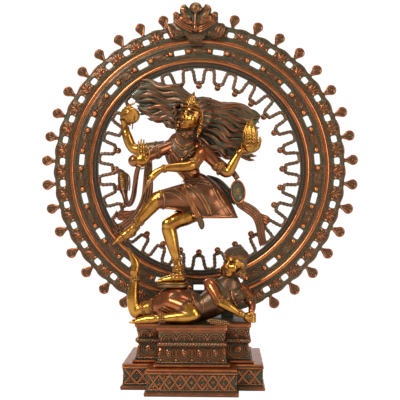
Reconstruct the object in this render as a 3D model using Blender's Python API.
"""A dancing four-armed figure in a ring of flames, on a stepped pedestal, as an assembly of brass castings.

Frame: +X to the viewer's right, +Y away from the viewer, +Z up. The origin is on the ground under the ring's axis,
halfway through the pedestal's depth. Sizes are in millimetres, and MM turns them into metres as meshes are made.
"""

import math

import bmesh
import bpy
from mathutils import Matrix, Vector

MM = 0.001
GAP = 0.3  # the clearance that two seated castings keep
SEAT_GAP = 0.6  # how far a cutter stands off its neighbour's vertices, so that its faces stand off by GAP or more

# Pedestal. Each tier has a T-shaped plan: a wide body with a narrower block that steps forward.
PEDESTAL_X = -7.0  # the pedestal stands a little to the left of the ring's axis
LOWER_WIDTH, LOWER_DEPTH, LOWER_HEIGHT = 212.0, 182.0, 40.0
LOWER_BLOCK_WIDTH, LOWER_BLOCK_STEP = 131.0, 42.0
UPPER_WIDTH, UPPER_DEPTH, UPPER_HEIGHT = 175.0, 148.0, 54.0
UPPER_BLOCK_WIDTH, UPPER_BLOCK_STEP = 101.0, 36.0
SLAB_THICKNESS, SLAB_LIP = 8.0, 2.5
FLANGE, FLANGE_HEIGHT = 5.0, 6.0
WALL = 4.0
ROPE_RADIUS, ROPE_HEIGHT = 4.7, 33.0  # the rope moulding's radius, and its height above the upper tier's foot

# Aureole. Radii are measured from its axis to the middle of each rail, and to the edges of each band.
RAIL_RADIUS = 4.3
OUTER_RAIL, INNER_RAIL = 208.0, 176.0
BAND_THICKNESS = 5.0
OUTER_BAND_WIDTH = 24.0
LOOP_REACH, LOOP_RADIUS, LOOP_NECK = 21.5, 8.6, 3.2  # flame loops, past the outer band's edge
LOOPS_PER_SIDE, FIRST_LOOP, LOOP_PITCH = 16, 13.5, 9.15  # in degrees from the top
LOOP_WINDOW = (11.6, 9.0)  # length round the ring, and height
MIDDLE_WINDOWS = 19
MIDDLE_WINDOW = (18.0, 8.6)
GARLAND_WAVES = 28
GARLAND_ROPE, GARLAND_SWING, GARLAND_STRIP = 4.8, 11.5, 7.0
GARLAND_BALL, GARLAND_DROP = 4.8, 6.2  # ball radius, and how far its middle hangs past the rope
RING_Y = 22.0
FOOT_CLEARANCE = 3.0  # from the slab to the lowest point of the outer band
RING_SEGMENTS = 72
MASK_X = -5.0

# The figures are drawn for an outer rail of this radius on a slab at this height, and follow both.
DRAWN_RAIL, DRAWN_SLAB, DRAWN_RING_Y = 208.0, 102.0, 30.0

BRACKET_X, BRACKET_WIDTH, BRACKET_SHEET = 46.0, 20.0, 4.0
BRACKET_HEIGHT, BRACKET_DEPTH = 28.0, 22.0
SCREW_RADIUS, SCREW_HEAD_RADIUS, SCREW_HEAD = 2.0, 4.0, 2.6

SIDES = 8  # of a limb's section

SLAB_BOTTOM = LOWER_HEIGHT + UPPER_HEIGHT
SLAB_TOP = SLAB_BOTTOM + SLAB_THICKNESS
OUTER_BAND_INNER = OUTER_RAIL + RAIL_RADIUS + GAP
OUTER_BAND_EDGE = OUTER_BAND_INNER + OUTER_BAND_WIDTH
SCALE = OUTER_RAIL / DRAWN_RAIL
RING_Z = SLAB_TOP + FOOT_CLEARANCE + OUTER_BAND_EDGE

COLOURS = {  # base colour, metallic, roughness
    "patina_bronze": ((0.16, 0.13, 0.09), 0.8, 0.5),
    "red_bronze": ((0.42, 0.13, 0.05), 0.9, 0.3),
    "polished_brass": ((0.85, 0.50, 0.12), 1.0, 0.22),
    "steel_screw": ((0.45, 0.44, 0.42), 1.0, 0.35),
}


# ---------------------------------------------------------------- making objects


def material(name):
    """The Principled material of that name, made the first time it is asked for."""
    found = bpy.data.materials.get(name)
    if found:
        return found
    made = bpy.data.materials.new(name)
    made.use_nodes = True
    colour, metallic, roughness = COLOURS[name]
    shader = made.node_tree.nodes["Principled BSDF"]
    shader.inputs["Base Color"].default_value = (*colour, 1.0)
    shader.inputs["Metallic"].default_value = metallic
    shader.inputs["Roughness"].default_value = roughness
    made.diffuse_color = (*colour, 1.0)
    return made


def add(name, mesh, finish, helper=False):
    """Links a mesh to the scene as a part, or as a helper that only cuts or joins."""
    made = bpy.data.objects.new(name, mesh)
    bpy.context.scene.collection.objects.link(made)
    mesh.materials.append(material(finish))
    if helper:
        made.hide_render = True
        made.display_type = "WIRE"
    return made


def from_bmesh(name, shape, finish, helper=False):
    """A part from a bmesh in millimetres."""
    bmesh.ops.scale(shape, vec=(MM, MM, MM), verts=shape.verts)
    bmesh.ops.recalc_face_normals(shape, faces=shape.faces)
    mesh = bpy.data.meshes.new(name)
    shape.to_mesh(mesh)
    shape.free()
    mesh.shade_smooth()
    mesh.set_sharp_from_angle(angle=math.radians(40))
    return add(name, mesh, finish, helper)


def skinned(rings, closed_profile=False):
    """A bmesh skinned over rings of points; a closed profile joins the last ring to the first, with no caps."""
    shape = bmesh.new()
    rows = [[shape.verts.new(point) for point in ring] for ring in rings]
    pairs = list(zip(rows, rows[1:]))
    if closed_profile:
        pairs.append((rows[-1], rows[0]))
    else:
        shape.faces.new(rows[0])
        shape.faces.new(rows[-1])
    count = len(rows[0])
    for low, high in pairs:
        for i in range(count):
            j = (i + 1) % count
            shape.faces.new((low[i], low[j], high[j], high[i]))
    return shape


# ---------------------------------------------------------------- fitting pieces to each other


def modifier(part, operation, other):
    """A Boolean on the part, with the other object hidden from the render."""
    boolean = part.modifiers.new(operation.lower(), "BOOLEAN")
    boolean.operation = operation
    boolean.solver = "EXACT"
    boolean.object = other
    return boolean


def grown(neighbour):
    """A helper that is the neighbour as it stands, grown by the seat gap along its normals."""
    graph = bpy.context.evaluated_depsgraph_get()
    mesh = bpy.data.meshes.new_from_object(neighbour.evaluated_get(graph))
    helper = add("grown_" + neighbour.name, mesh, mesh.materials[0].name, helper=True)
    swell = helper.modifiers.new("swell", "DISPLACE")
    swell.strength = SEAT_GAP * MM
    swell.mid_level = 0.0
    return helper


def seat(part, *neighbours):
    """Cuts the part back from its neighbours, so that it sits against them and overlaps nothing."""
    for neighbour in neighbours:
        modifier(part, "DIFFERENCE", grown(neighbour))
    bpy.context.view_layer.update()
    return part


def united(part, *others):
    """Makes the part one body with the others, which become helpers."""
    for other in others:
        other.hide_render = True
        other.display_type = "WIRE"
        modifier(part, "UNION", other)
    bpy.context.view_layer.update()
    return part


# ---------------------------------------------------------------- shapes


def drawn(x, y, z):
    """A point of the figures' drawing, placed for the real ring and slab."""
    return Vector((x * SCALE, RING_Y + (y - DRAWN_RING_Y) * SCALE, SLAB_TOP + (z - DRAWN_SLAB) * SCALE))


def limb(name, finish, stations, across=Vector((0, 1, 0)), helper=False):
    """A tapering piece along stations (x, y, z, half width, half depth) of the drawing.

    across is the direction that the half depth is measured along.
    """
    centres = [drawn(*station[:3]) for station in stations]
    rings = []
    for i, centre in enumerate(centres):
        ahead = centres[min(i + 1, len(centres) - 1)]
        behind = centres[max(i - 1, 0)]
        along = (ahead - behind).normalized()
        side = along.cross(across).normalized()
        depth = side.cross(along).normalized()
        half_width, half_depth = (SCALE * size for size in stations[i][3:])
        rings.append([
            centre
            + side * half_width * math.cos(math.tau * k / SIDES)
            + depth * half_depth * math.sin(math.tau * k / SIDES)
            for k in range(SIDES)
        ])
    return from_bmesh(name, skinned(rings), finish, helper)


def lump(name, finish, centre, radii, tilt=0.0, helper=False):
    """An ellipsoid of the drawing, tilted about the Y axis by tilt degrees."""
    shape = bmesh.new()
    bmesh.ops.create_uvsphere(shape, u_segments=10, v_segments=8, radius=1.0)
    bmesh.ops.scale(shape, vec=[SCALE * r for r in radii], verts=shape.verts)
    turn = Matrix.Rotation(math.radians(tilt), 3, "Y")
    bmesh.ops.rotate(shape, matrix=turn, verts=shape.verts)
    bmesh.ops.translate(shape, vec=drawn(*centre), verts=shape.verts)
    return from_bmesh(name, shape, finish, helper)


def plate(name, finish, outline, front, back, lean=None, helper=False):
    """A plate between two depths of the drawing, with an (x, z) outline; lean moves each point back by its radius."""
    rings = []
    for y in (front, back):
        ring = []
        for x, z in outline:
            shift = lean(math.hypot(x, z - DRAWN_RING_Z)) if lean else 0.0
            ring.append(drawn(x, y + shift, z))
        rings.append(ring)
    return from_bmesh(name, skinned(rings), finish, helper)


def polar(radius, angle):
    """(x, z) on the ring's face at a radius, with the angle in degrees clockwise from the top."""
    turn = math.radians(angle)
    return radius * math.sin(turn), radius * math.cos(turn)


def circle(radius, segments=RING_SEGMENTS):
    return [polar(radius, 360 * i / segments) for i in range(segments)]


def window(radius, angle, length, height):
    """A rectangular opening in a band, square to the radius through its middle."""
    turn = math.radians(angle)
    along, out = (math.cos(turn), -math.sin(turn)), (math.sin(turn), math.cos(turn))
    corners = ((-1, -1), (1, -1), (1, 1), (-1, 1))
    return [
        (
            out[0] * (radius + height / 2 * v) + along[0] * length / 2 * u,
            out[1] * (radius + height / 2 * v) + along[1] * length / 2 * u,
        )
        for u, v in corners
    ]


def flat_ring(name, finish, outlines, thickness):
    """A flat pierced piece of the ring: the first outline is its edge, and the others are its openings."""
    curve = bpy.data.curves.new(name, "CURVE")
    curve.dimensions = "2D"
    curve.fill_mode = "BOTH"
    curve.extrude = thickness / 2 * MM
    for outline in outlines:
        spline = curve.splines.new("POLY")
        spline.points.add(len(outline) - 1)
        for point, (x, z) in zip(spline.points, outline):
            point.co = (x * MM, z * MM, 0.0, 1.0)
        spline.use_cyclic_u = True
    outline_object = bpy.data.objects.new(name + "_outline", curve)
    bpy.context.scene.collection.objects.link(outline_object)
    graph = bpy.context.evaluated_depsgraph_get()
    mesh = bpy.data.meshes.new_from_object(outline_object.evaluated_get(graph))
    bpy.data.objects.remove(outline_object)
    shape = bmesh.new()
    shape.from_mesh(mesh)
    bmesh.ops.remove_doubles(shape, verts=shape.verts, dist=1e-6)
    bmesh.ops.recalc_face_normals(shape, faces=shape.faces)
    shape.transform(Matrix.Translation((0, RING_Y * MM, RING_Z * MM)) @ Matrix.Rotation(math.pi / 2, 4, "X"))
    shape.to_mesh(mesh)
    shape.free()
    mesh.materials.clear()
    return add(name, mesh, finish)


def rail(name, radius):
    """A round rod bent to a full ring."""
    sides = 6
    corner = RAIL_RADIUS / math.cos(math.pi / sides)
    rings = []
    for i in range(RING_SEGMENTS):
        angle = 360 * i / RING_SEGMENTS
        ring = []
        for k in range(sides):
            turn = math.tau * (k + 0.5) / sides
            x, z = polar(radius + corner * math.cos(turn), angle)
            ring.append(Vector((x, RING_Y + corner * math.sin(turn), RING_Z + z)))
        rings.append(ring)
    return from_bmesh(name, skinned(rings, closed_profile=True), "red_bronze")


def tier_plan(width, depth, block_width, block_step, grow):
    """The T-shaped plan of a tier as eight points, grown outwards all round. depth includes the block's step."""
    half, block = width / 2 + grow, block_width / 2 + grow
    back, front = depth / 2 + grow, -depth / 2 - grow
    shoulder = front + block_step
    return [
        (PEDESTAL_X + x, y)
        for x, y in (
            (-half, back), (-half, shoulder), (-block, shoulder), (-block, front),
            (block, front), (block, shoulder), (half, shoulder), (half, back),
        )
    ]


def tier(name, finish, plan, profile):
    """A hollow tier: a closed profile of (outward growth, height) swept round its plan."""
    rings = [[Vector((x, y, z)) for x, y in tier_plan(*plan, grow)] for grow, z in profile]
    return from_bmesh(name, skinned(rings, closed_profile=True), finish)


def screw(name, head, direction, length):
    """A round-headed screw whose head's underside is at head, and whose shank runs along direction."""
    along = Vector(direction).normalized()
    side = along.orthogonal().normalized()
    other = along.cross(side)
    sides = 10
    profile = (
        (-SCREW_HEAD, SCREW_HEAD_RADIUS * 0.7), (-SCREW_HEAD * 0.6, SCREW_HEAD_RADIUS), (0, SCREW_HEAD_RADIUS),
        (0, SCREW_RADIUS), (length, SCREW_RADIUS),
    )
    rings = [
        [
            Vector(head) + along * distance
            + (side * math.cos(math.tau * k / sides) + other * math.sin(math.tau * k / sides)) * radius
            for k in range(sides)
        ]
        for distance, radius in profile
    ]
    return from_bmesh(name, skinned(rings), "steel_screw")


# ---------------------------------------------------------------- pedestal

LOWER_PLAN = (LOWER_WIDTH, LOWER_DEPTH, LOWER_BLOCK_WIDTH, LOWER_BLOCK_STEP)
UPPER_PLAN = (UPPER_WIDTH, UPPER_DEPTH, UPPER_BLOCK_WIDTH, UPPER_BLOCK_STEP)


def make_pedestal():
    """The two hollow tiers, the rope moulding in the upper one's waist, and the slab."""
    ledge = (LOWER_WIDTH - UPPER_WIDTH) / 2
    lower = tier("pedestal_lower_tier", "patina_bronze", LOWER_PLAN, (
        (FLANGE, 0), (FLANGE, FLANGE_HEIGHT), (0, FLANGE_HEIGHT + 2), (0, LOWER_HEIGHT - 5),
        (2, LOWER_HEIGHT - 3), (2, LOWER_HEIGHT - GAP), (-ledge - 2 * WALL, LOWER_HEIGHT - GAP),
        (-ledge - 2 * WALL, LOWER_HEIGHT - WALL), (-WALL, LOWER_HEIGHT - WALL), (-WALL, 0),
    ))
    foot = LOWER_HEIGHT
    waist = foot + ROPE_HEIGHT
    upper = tier("pedestal_upper_tier", "patina_bronze", UPPER_PLAN, (
        (6, foot), (6, foot + 4), (1.5, foot + 6), (-1, foot + 0.35 * UPPER_HEIGHT), (-4.5, waist - ROPE_RADIUS),
        (-4.5, waist + ROPE_RADIUS), (0, SLAB_BOTTOM - GAP),
        (-4.5 - WALL, SLAB_BOTTOM - GAP), (-4.5 - WALL, foot),
    ))
    rope = pedestal_rope(waist)
    seat(upper, rope)
    slab_rings = [
        [Vector((x, y, z)) for x, y in tier_plan(*UPPER_PLAN, grow)]
        for grow, z in (
            (SLAB_LIP - 1, SLAB_BOTTOM), (SLAB_LIP, SLAB_BOTTOM + 1), (SLAB_LIP, SLAB_TOP - 1), (SLAB_LIP - 1, SLAB_TOP),
        )
    ]
    slab = from_bmesh("pedestal_top_slab", skinned(slab_rings), "red_bronze")
    return lower, slab


def pedestal_rope(height):
    """The rope moulding: a rod along the upper tier's plan, half sunk in its waist."""
    plan = [Vector((x, y, height)) for x, y in tier_plan(*UPPER_PLAN, -2.5)]
    sides = 6
    rings = []
    for i, corner in enumerate(plan):
        before = (corner - plan[i - 1]).normalized()
        after = (plan[(i + 1) % len(plan)] - corner).normalized()
        out = Vector((after.y - 0, -after.x, 0)) + Vector((before.y, -before.x, 0))
        out = out / max(1e-6, out.length_squared) * 2  # the mitre's reach at a square corner
        rings.append([
            corner + (out * math.cos(math.tau * k / sides) + Vector((0, 0, math.sin(math.tau * k / sides)))) * ROPE_RADIUS
            for k in range(sides)
        ])
    return from_bmesh("pedestal_rope_moulding", skinned(rings, closed_profile=True), "patina_bronze")


# ---------------------------------------------------------------- aureole


def loop_angles():
    """The flame loops' angles, clockwise from the top; none stand behind the mask or over the slab."""
    one_side = [FIRST_LOOP + LOOP_PITCH * i for i in range(LOOPS_PER_SIDE)]
    return one_side + [360 - angle for angle in reversed(one_side)]


def loop_outline(angle):
    """One flame loop as it stands out of the band's edge: a neck and a round head."""
    head = OUTER_BAND_EDGE + LOOP_REACH - LOOP_RADIUS
    profile = [(-LOOP_NECK - 2, OUTER_BAND_EDGE), (-LOOP_NECK, OUTER_BAND_EDGE + 3.5)]
    for i in range(6):
        turn = math.radians(-110 + 44 * i)
        profile.append((LOOP_RADIUS * math.sin(turn), head + LOOP_RADIUS * math.cos(turn)))
    profile += [(LOOP_NECK, OUTER_BAND_EDGE + 3.5), (LOOP_NECK + 2, OUTER_BAND_EDGE)]
    turn = math.radians(angle)
    return [(out * math.sin(turn) + along * math.cos(turn), out * math.cos(turn) - along * math.sin(turn))
            for along, out in profile]


def make_outer_band():
    edge = []
    angles = loop_angles()
    for angle, following in zip(angles, angles[1:] + [angles[0] + 360]):
        edge += loop_outline(angle)
        steps = max(1, round((following - angle) / LOOP_PITCH))
        edge += [polar(OUTER_BAND_EDGE, angle + (following - angle) * (i + 0.5) / steps) for i in range(steps)]
    middle = OUTER_BAND_INNER + OUTER_BAND_WIDTH * 0.46
    windows = [window(middle, angle, *LOOP_WINDOW) for angle in angles]
    outlines = [edge, circle(OUTER_BAND_INNER)] + windows
    return flat_ring("aureole_outer_band", "patina_bronze", outlines, BAND_THICKNESS)


def make_middle_band():
    low, high = INNER_RAIL + RAIL_RADIUS + GAP, OUTER_RAIL - RAIL_RADIUS - GAP
    pitch = 360 / MIDDLE_WINDOWS
    windows = [window((low + high) / 2, pitch * (i + 0.5), *MIDDLE_WINDOW) for i in range(MIDDLE_WINDOWS)]
    return flat_ring("aureole_middle_band", "patina_bronze", [circle(high), circle(low)] + windows, BAND_THICKNESS)


def garland_edge(wave, sign, steps, start, end):
    """Points on one edge of the garland's rope over part of a wave; sign is -1 towards the axis."""
    strip = INNER_RAIL - RAIL_RADIUS - GAP - GARLAND_STRIP
    middle = strip - GARLAND_SWING - 0.3 * GARLAND_ROPE
    pitch = 360 / GARLAND_WAVES
    points = []
    for i in range(steps + 1):
        phase = start + (end - start) * i / steps
        radius = middle + GARLAND_SWING * math.cos(math.tau * phase)
        slope = -GARLAND_SWING * math.tau * math.sin(math.tau * phase) / (math.radians(pitch) * radius)
        length = math.hypot(1, slope)
        angle = pitch * (wave + phase - 0.5) - sign * math.degrees(GARLAND_ROPE / 2 * slope / length / radius)
        points.append((radius + sign * GARLAND_ROPE / 2 / length, angle))
    return points


def make_garland():
    """The inner strip, the wavy rope that hangs from it, and the ball at the foot of each wave."""
    high = INNER_RAIL - RAIL_RADIUS - GAP
    strip = high - GARLAND_STRIP
    pitch = 360 / GARLAND_WAVES
    inner, openings = [], []
    for wave in range(GARLAND_WAVES):
        inner += garland_edge(wave, -1, 3, 0.0, 0.42)
        trough = min(radius for radius, _ in garland_edge(wave, -1, 2, 0.45, 0.55))
        ball = trough + GARLAND_ROPE / 2 - GARLAND_DROP
        for i in range(5):
            turn = math.radians(-40 - 70 * i)
            shift = math.degrees(GARLAND_BALL * math.sin(turn) / ball)
            inner.append((ball + GARLAND_BALL * math.cos(turn), pitch * wave + shift))
        inner += garland_edge(wave, -1, 3, 0.58, 0.97)
        outer = [p for p in garland_edge(wave, 1, 6, 0.16, 0.84) if p[0] < strip - 0.4]
        openings.append(outer + [(strip, outer[-1][1]), (strip, pitch * wave), (strip, outer[0][1])])
    outlines = [circle(high)] + [[polar(*p) for p in ring] for ring in [inner] + openings]
    return flat_ring("aureole_garland", "patina_bronze", outlines, BAND_THICKNESS * 0.9)


def make_aureole():
    """The ring's bands and rails, which butt against each other edge to edge."""
    return {
        "outer_band": make_outer_band(),
        "outer_rail": rail("aureole_outer_rail", OUTER_RAIL),
        "middle_band": make_middle_band(),
        "inner_rail": rail("aureole_inner_rail", INNER_RAIL),
        "garland": make_garland(),
    }


DRAWN_RING_Z = DRAWN_SLAB + 3.0 + 236.9


def make_mask(ring):
    """The monster mask at the top of the ring, on the front of the outer band and rail."""
    half = [
        (0, 553), (13, 552), (14, 562), (30, 560), (42, 564), (49, 573), (46, 588), (39, 594), (38, 600),
        (28, 603), (24, 605), (22, 606), (11, 609), (0, 611),
    ]
    outline = half + [(-x, z) for x, z in reversed(half[1:-1])]
    outline = [(x + MASK_X, z) for x, z in outline]
    mask = plate("aureole_monster_mask", "patina_bronze", outline, 14, 31)
    seat(mask, ring["outer_rail"], ring["outer_band"], ring["middle_band"])
    return mask


def make_brackets(ring, slab):
    """Two angle brackets behind the ring, each with a screw into the slab and one into the outer band."""
    back = RING_Y + BAND_THICKNESS / 2 + GAP
    for side, word in ((-1, "left"), (1, "right")):
        low, high = side * BRACKET_X - BRACKET_WIDTH / 2, side * BRACKET_X + BRACKET_WIDTH / 2
        foot = SLAB_TOP + GAP
        section = (
            (back, foot), (back, foot + BRACKET_HEIGHT), (back + BRACKET_SHEET, foot + BRACKET_HEIGHT),
            (back + BRACKET_SHEET, foot + BRACKET_SHEET), (back + BRACKET_DEPTH, foot + BRACKET_SHEET),
            (back + BRACKET_DEPTH, foot),
        )
        rings = [[Vector((x, y, z)) for y, z in section] for x in (low, high)]
        bracket = from_bmesh(f"bracket_{word}", skinned(rings), "patina_bronze")
        into_slab = screw(
            f"slab_screw_{word}",
            (side * BRACKET_X, back + BRACKET_DEPTH * 0.62, foot + BRACKET_SHEET + GAP), (0, 0, -1),
            BRACKET_SHEET + SLAB_THICKNESS * 0.8,
        )
        band_z = RING_Z - math.sqrt((OUTER_BAND_EDGE - 6.5) ** 2 - BRACKET_X**2)
        into_band = screw(
            f"band_screw_{word}", (side * BRACKET_X, back + BRACKET_SHEET + GAP, band_z), (0, -1, 0),
            BRACKET_SHEET + BAND_THICKNESS * 0.8,
        )
        seat(bracket, into_slab, into_band)
        seat(slab, into_slab)
        seat(ring["outer_band"], into_band)


# ---------------------------------------------------------------- dwarf


def make_dwarf(slab):
    """The dwarf that lies under the dancer's foot, in the pieces it is cast in."""
    body = limb("dwarf_body", "red_bronze", [
        (-62, -22, 122, 12, 12), (-46, -25, 128, 26, 24), (-30, -26, 131, 29, 27), (-14, -26, 126, 26, 25),
        (4, -26, 122, 21, 20), (24, -26, 132, 23, 20), (40, -26, 145, 25, 19), (49, -25, 158, 19, 15),
        (52, -25, 169, 9, 9), (53, -25, 178, 8, 8),
    ])
    seat(body, slab)
    for word, x in (("left", -34.0), ("right", 14.0)):
        place = drawn(x, -26, 0)
        fixing = screw(f"dwarf_screw_{word}", (place.x, place.y, SLAB_BOTTOM - GAP), (0, 0, 1), SLAB_THICKNESS + 12)
        seat(slab, fixing)
        seat(body, fixing)
    head = lump("dwarf_head", "patina_bronze", (54, -27, 195), (20, 20, 25), tilt=8)
    seat(head, body)
    thigh = limb("dwarf_folded_leg", "polished_brass", [
        (-36, -42, 134, 13, 12), (-22, -50, 128, 13, 12), (-12, -53, 121, 12, 11), (-4, -54, 118, 6, 8),
    ])
    shin = limb("dwarf_folded_shin", "polished_brass", [
        (-4, -55, 116, 7, 8), (-16, -56, 115, 11, 10), (-34, -56, 115, 9, 9), (-54, -56, 113, 7, 7),
        (-66, -55, 112, 8, 7), (-84, -55, 108, 6, 6), (-99, -55, 107, 4, 4),
    ])
    folded = united(thigh, shin)
    seat(folded, slab, body)
    upper = limb("dwarf_raised_leg", "polished_brass", [
        (-44, -22, 128, 18, 17), (-66, -18, 124, 16, 15), (-86, -15, 121, 13, 12), (-100, -14, 120, 9, 10),
    ])
    lower = limb("dwarf_raised_shin", "polished_brass", [
        (-96, -14, 112, 8, 9), (-98, -14, 122, 10, 10), (-101, -14, 140, 9.5, 9), (-100, -14, 160, 7, 7),
        (-99, -14, 174, 7, 7), (-99, -14, 187, 8, 7), (-105, -14, 199, 5, 6), (-113, -14, 211, 2.5, 4),
    ])
    raised = united(upper, lower)
    seat(raised, slab, body, folded)
    near = limb("dwarf_near_arm", "polished_brass", [
        (16, -38, 164, 7, 7), (21, -44, 158, 9, 9), (29, -50, 146, 8.5, 8.5), (36, -54, 136, 8, 8), (48, -56, 129, 7.5, 7.5),
        (61, -57, 121, 5, 5), (68, -57, 118, 6, 5), (77, -56, 113, 10, 9), (86, -54, 110, 7, 7),
    ])
    seat(near, slab, body)
    far = limb("dwarf_far_arm", "red_bronze", [
        (58, -22, 152, 9, 9), (70, -24, 148, 11, 11), (80, -30, 138, 8, 8), (84, -38, 128, 6, 6), (83, -46, 121, 5, 5),
    ])
    seat(far, slab, body, near)
    shield = lump("dwarf_shield", "patina_bronze", (33, -61, 106), (19, 5, 7), tilt=-10)
    seat(shield, slab, near, body, folded)
    return {"body": body, "head": head, "folded": folded, "raised": raised, "near": near}


# ---------------------------------------------------------------- dancer


def hair_lean(radius):
    """How far back a hair tip leans to reach the ring."""
    share = min(1.0, max(0.0, (radius - 118) / 17))
    return 6.5 * share * share * (3 - 2 * share)


def make_dancer(ring, dwarf):
    """The dancing figure and what it wears and holds."""
    cushion = limb("foot_cushion", "patina_bronze", [
        (-38, -29, 156, 22, 14), (-38, -29, 159, 25, 17), (-38, -29, 162, 25, 17), (-38, -29, 164, 23, 15),
    ])
    seat(cushion, dwarf["body"], dwarf["near"])
    torso = limb("dancer_torso", "red_bronze", [
        (2, -8, 296, 17, 13), (-6, -8, 314, 15, 12), (-10, -8, 328, 15, 12), (-18, -10, 345, 20, 14),
        (-27, -12, 363, 27, 16), (-28, -11, 376, 24, 13), (-23, -10, 386, 11, 9), (-18, -11, 394, 8, 8),
        (-16, -11, 402, 7.5, 7.5),
    ])
    skirt_hips = limb("dancer_skirt", "red_bronze", [
        (-8, -9, 320, 18, 15), (-2, -10, 308, 27, 19), (6, -9, 290, 36, 24), (12, -7, 268, 41, 26),
    ])
    skirt_thigh = limb("dancer_skirt_thigh", "red_bronze", [
        (6, -16, 296, 22, 18), (-16, -26, 295, 22, 18), (-40, -36, 293, 18, 16), (-56, -41, 291, 14, 14),
    ])
    skirt = united(skirt_hips, skirt_thigh)
    seat(skirt, torso)
    head = lump("dancer_head", "patina_bronze", (-8, -11, 427), (22, 23, 31), tilt=14)
    seat(head, torso)

    raised = limb("dancer_raised_leg", "polished_brass", [
        (-50, -40, 293, 11, 11), (-60, -42, 291, 12.5, 12), (-70, -42, 281, 11.5, 11), (-84, -42, 265, 9, 9),
        (-92, -42, 254, 6.5, 6.5), (-98, -42, 246, 8, 8), (-106, -42, 238, 9, 7), (-117, -42, 230, 7, 6),
        (-127, -42, 224, 4, 4),
    ])
    seat(raised, skirt)
    standing = limb("dancer_standing_leg", "polished_brass", [
        (6, -14, 274, 14, 14), (-16, -20, 264, 14, 14), (-36, -26, 257, 13, 13), (-46, -28, 248, 12, 12),
        (-42, -28, 232, 11, 11), (-36, -28, 212, 8.5, 9), (-31, -28, 195, 6.5, 7), (-29, -29, 182, 8, 8),
        (-29, -30, 168, 9, 9),
    ])
    foot = limb("dancer_standing_foot", "polished_brass", [
        (-20, -30, 168, 6, 7), (-30, -30, 170, 8, 9), (-44, -30, 168, 6, 8), (-61, -30, 165, 3, 6),
    ])
    standing = united(standing, foot)
    seat(standing, skirt, cushion, dwarf["body"], dwarf["folded"])

    left_hair = plate("dancer_hair_left", "patina_bronze", [
        (-14, 452), (-20, 458), (-47, 461), (-66, 468), (-84, 482), (-93, 484), (-108, 458), (-98, 446), (-100, 432),
        (-88, 424), (-57, 415), (-44, 404), (-30, 396), (-16, 402), (-12, 430),
    ], 4, 20, hair_lean)
    right_hair = plate("dancer_hair_right", "patina_bronze", [
        (-10, 430), (-12, 458), (6, 461), (21, 459), (42, 442), (66, 441), (88, 427), (103, 428), (101, 419), (92, 408),
        (96, 384), (90, 366), (88, 355), (47, 355), (30, 366), (14, 376), (0, 386), (-14, 402),
    ], 4, 20, hair_lean)
    seat(right_hair, torso, head, ring["garland"], ring["inner_rail"])
    seat(left_hair, torso, head, right_hair, ring["garland"], ring["inner_rail"])

    rear_right = limb("dancer_rear_right_arm", "polished_brass", [
        (-44, -4, 374, 10, 9), (-72, -2, 374, 9.5, 9), (-96, -1, 371, 8.5, 8.5), (-107, 0, 376, 8, 8), (-113, 0, 392, 8, 8),
        (-118, -1, 407, 5.5, 5.5), (-118, -3, 417, 6, 8), (-115, -6, 429, 7, 9), (-111, -8, 440, 3, 4),
    ])
    seat(rear_right, torso, left_hair)
    rear_left = limb("dancer_rear_left_arm", "polished_brass", [
        (6, -10, 370, 9, 9), (22, -10, 356, 9, 9), (38, -11, 338, 9, 9), (47, -12, 334, 8, 8), (54, -13, 346, 8, 7.5),
        (61, -14, 358, 6, 6), (66, -15, 366, 5, 5), (74, -16, 369, 6, 6), (84, -17, 372, 8, 6), (93, -17, 378, 4, 4),
    ])
    seat(rear_left, torso, right_hair)
    front_left = limb("dancer_front_left_arm", "polished_brass", [
        (2, -20, 367, 8, 6), (4, -28, 360, 9, 8), (-2, -36, 349, 8.5, 8.5), (-12, -42, 342, 8.5, 8), (-30, -47, 340, 7.5, 7.5),
        (-45, -50, 339, 6, 6), (-54, -51, 337, 5, 5), (-63, -52, 331, 5.5, 4.5), (-71, -52, 322, 6, 4),
        (-78, -52, 312, 3.5, 3), (-81, -52, 304, 2, 2),
    ])
    seat(front_left, torso, rear_left)
    front_right = limb("dancer_front_right_arm", "polished_brass", [
        (-46, -20, 374, 7, 7), (-60, -26, 366, 9, 9), (-78, -34, 357, 8.5, 8.5), (-92, -42, 351, 9, 9),
        (-91, -52, 351, 8, 8), (-85, -60, 353, 6, 6),
    ])
    palm = limb("dancer_front_right_hand", "polished_brass", [
        (-83, -60, 345, 5, 4), (-82, -61, 352, 8, 6), (-80, -62, 363, 8, 5), (-79, -62, 370, 7, 3.5), (-79, -62, 379, 5, 2.5),
    ])
    front_right = united(front_right, palm)
    seat(front_right, torso, rear_right, front_left)

    drum = limb("hand_drum", "polished_brass", [
        (-101, -26, 421, 9, 9), (-102, -24, 422, 12.5, 12.5), (-105, -18, 424, 12, 12), (-108, -12, 427, 7, 7),
        (-112, -2, 430, 12, 12), (-113, 2, 431, 12, 12),
    ], across=Vector((0, 0, 1)))
    seat(drum, rear_right, left_hair)
    flame = limb("hand_flame", "polished_brass", [
        (81, -21, 372, 8, 8), (81, -21, 378, 12, 10), (82, -21, 392, 12, 10), (83, -21, 404, 9, 8),
        (84, -20, 414, 4, 4), (84.5, -20, 420, 1, 1),
    ])
    seat(flame, rear_left, right_hair)

    make_wraps(ring, skirt, front_right, front_left, rear_left, right_hair, torso, raised)


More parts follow.
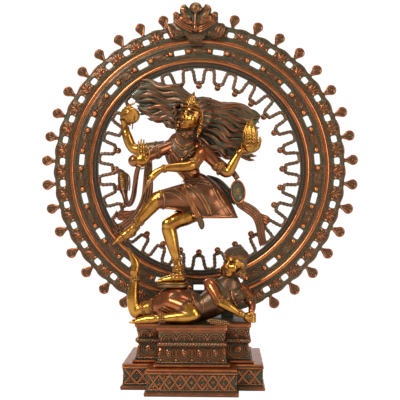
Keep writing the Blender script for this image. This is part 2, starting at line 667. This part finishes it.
def make_wraps(ring, skirt, front_right, front_left, rear_left, right_hair, torso, raised):
    """The cobra, the two streamers and the sash's hanging end."""
    tail = limb("dancer_sash_tail", "patina_bronze", [
        (-22, -44, 312, 4, 3.5), (-15, -44, 296, 4.5, 3.5), (-6, -42, 280, 4.5, 3.5), (2, -38, 264, 4.5, 4),
        (6, -36, 254, 4, 4), (7, -36, 249, 2.5, 2.5),
    ])
    seat(tail, skirt, raised)
    cobra = limb("cobra", "patina_bronze", [
        (-88, -56, 344, 3.5, 3.5), (-92, -50, 334, 4, 4), (-96, -38, 316, 4, 4), (-100, -22, 298, 4, 4), (-107, -8, 286, 4, 4),
        (-116, 6, 288, 4.2, 4.2), (-121, 16, 300, 6, 4), (-121, 20, 315, 9, 4.5), (-124, 21, 328, 9, 4.5),
        (-132, 20, 335, 6, 4), (-140, 18, 331, 3, 3),
    ])
    seat(cobra, front_right, ring["garland"])
    left = limb("streamer_left", "red_bronze", [
        (-73, -46, 352, 5, 3), (-75, -44, 336, 7, 3), (-76, -38, 314, 9, 3.2), (-80, -26, 292, 9, 3.2), (-91, -14, 271, 9, 3.2),
        (-107, -1, 256, 9, 3.2), (-123, 13, 245, 9, 3.2), (-134, 25, 239, 8, 3.2),
    ])
    frill = limb("streamer_left_end", "red_bronze", [
        (-94, -10, 270, 4, 3), (-106, -2, 266, 6, 3), (-118, 6, 264, 6, 3), (-130, 14, 265, 7, 3),
    ])
    left = united(left, frill)
    seat(left, front_right, front_left, ring["garland"], ring["inner_rail"], raised, cobra)
    right = limb("streamer_right", "red_bronze", [
        (30, -2, 356, 4.5, 4), (42, 2, 346, 4.5, 4), (54, 3, 336, 4.5, 4), (63, 3, 324, 4.5, 4), (64, 2, 312, 5, 4),
        (64, 3, 298, 5, 4), (68, 6, 286, 6, 3.5), (80, 9, 277, 8, 3.2), (92, 13, 267, 8, 3.2), (98, 17, 252, 6, 3.2),
        (101, 21, 234, 6, 3.2), (104, 27, 217, 6, 3.2),
    ])
    shell = lump("streamer_right_shell", "red_bronze", (63, 0, 304), (12, 5, 19), tilt=-6)
    branch = limb("streamer_right_branch", "red_bronze", [
        (88, 11, 270, 5, 3), (98, 17, 264, 5, 3), (106, 22, 260, 5, 3), (113, 27, 258, 5, 3),
    ])
    waist = limb("streamer_right_waist", "red_bronze", [
        (12, 6, 326, 5, 4), (30, 7, 318, 7, 4.5), (46, 6, 303, 7, 4.5), (62, 5, 287, 6, 4),
    ])
    right = united(right, shell, branch, waist)
    seat(right, rear_left, skirt, torso, right_hair, ring["garland"], ring["inner_rail"])


def main():
    for old in list(bpy.data.objects):
        bpy.data.objects.remove(old)
    _, slab = make_pedestal()
    ring = make_aureole()
    make_brackets(ring, slab)
    make_mask(ring)
    dwarf = make_dwarf(slab)
    make_dancer(ring, dwarf)


main()
